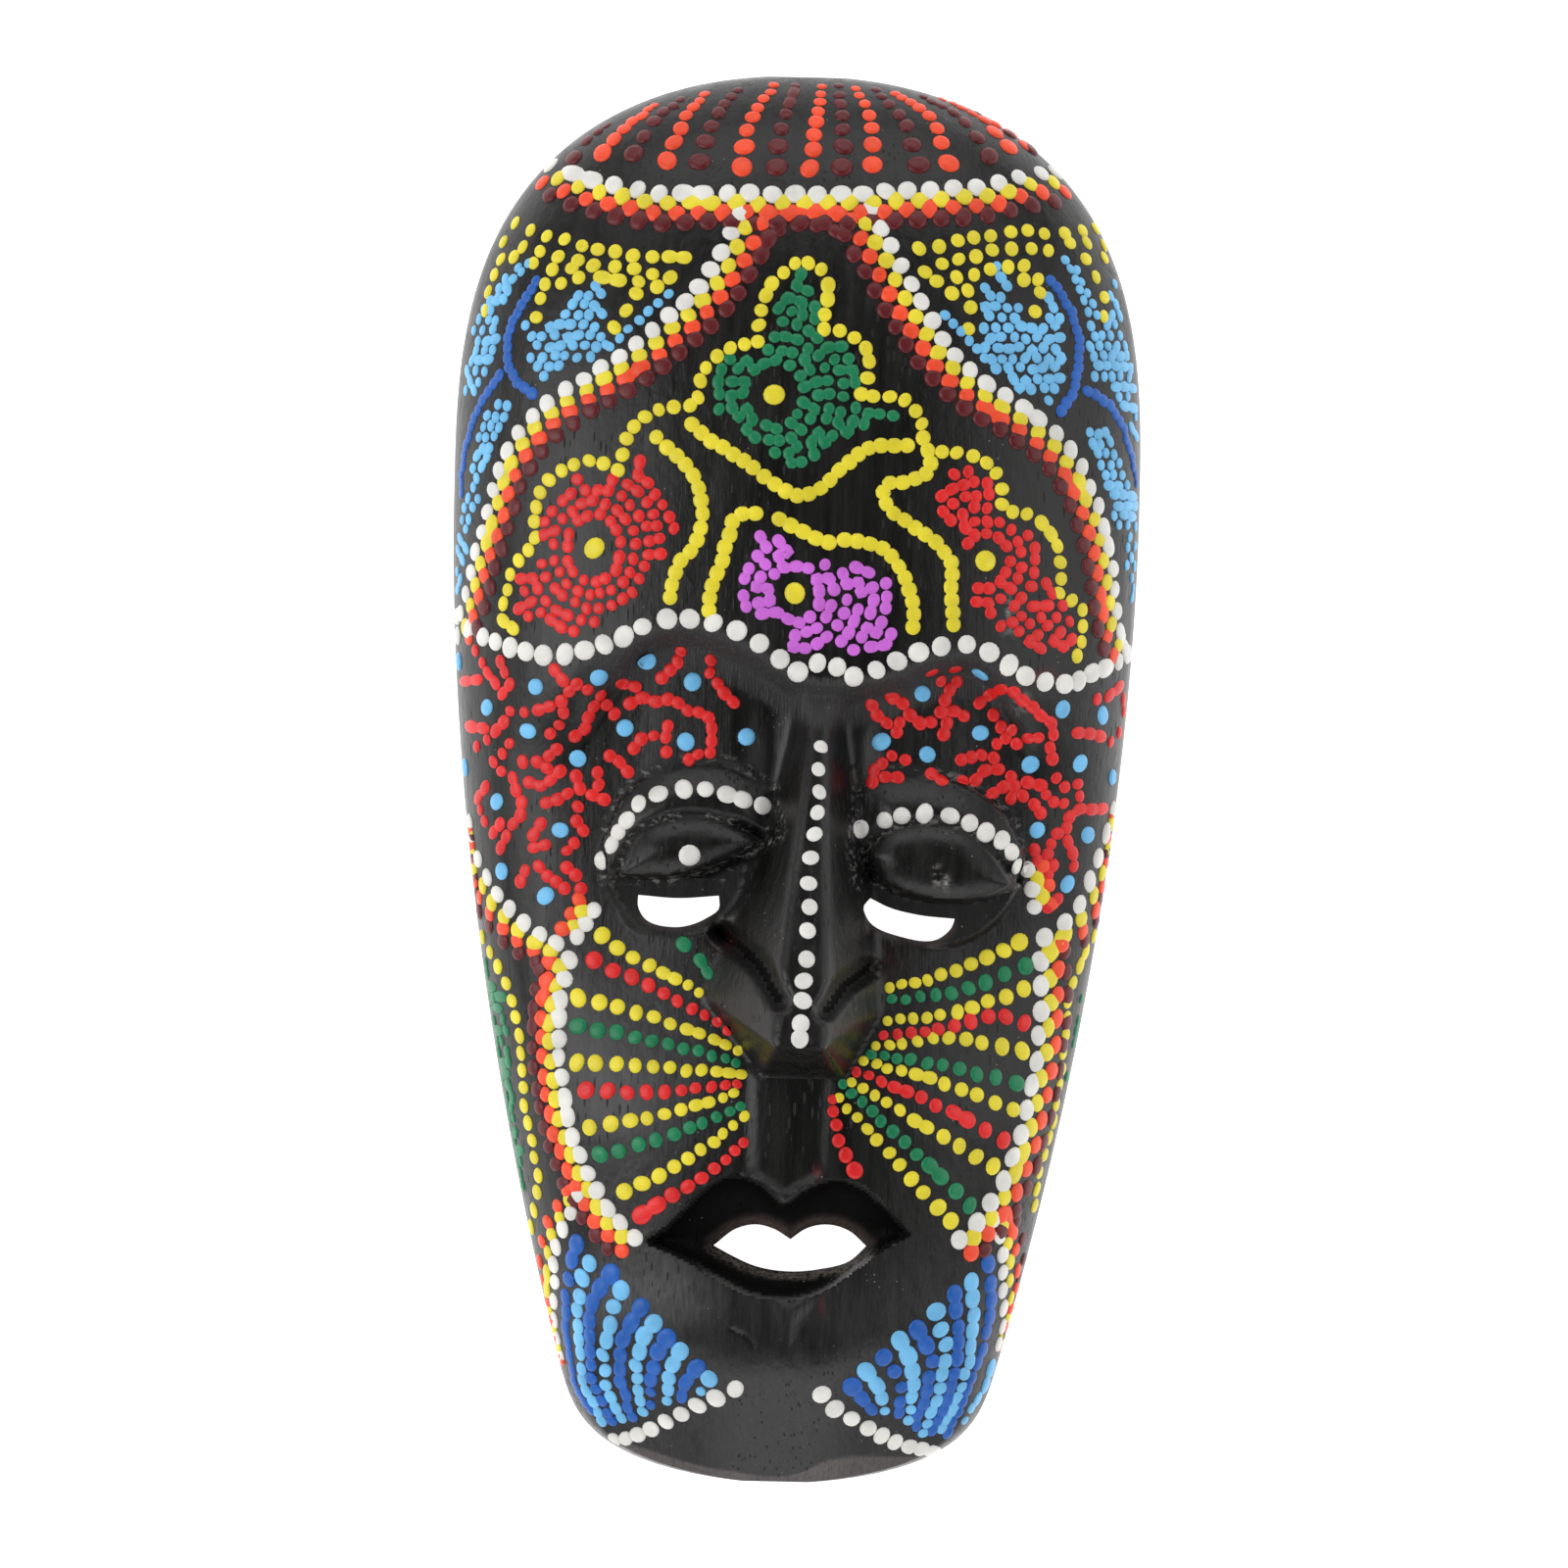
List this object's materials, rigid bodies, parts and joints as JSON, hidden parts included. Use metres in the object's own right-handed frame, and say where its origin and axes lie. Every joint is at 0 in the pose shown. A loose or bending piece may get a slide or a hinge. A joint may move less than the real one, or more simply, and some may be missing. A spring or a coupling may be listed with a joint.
{
  "type": "african mask",
  "caption": "Carved wooden face mask with a long domed head, lidded eyes over slits, narrow nose and open bow mouth, hollow behind and dot painted.",
  "frame": {"origin": "on the plane of the back rim, halfway between crown and chin and halfway between the temples", "axes": "+Y from the chin up to the crown, +Z out of the face, +X to the right as one looks at the face"},
  "size_m": [0.1466, 0.3, 0.0599],
  "materials": {
    "blackened_wood": "stained black, satin wax",
    "paint_white": "thick acrylic drops",
    "paint_yellow": "thick acrylic drops",
    "paint_orange": "thick acrylic drops",
    "paint_maroon": "thick acrylic drops",
    "paint_red": "thick acrylic drops",
    "paint_green": "thick acrylic drops",
    "paint_light_blue": "thick acrylic drops",
    "paint_blue": "thick acrylic drops",
    "paint_violet": "thick acrylic drops"
  },
  "bodies": {
    "root": {"carved_mask": "blackened_wood"}
  },
  "joints": []
}
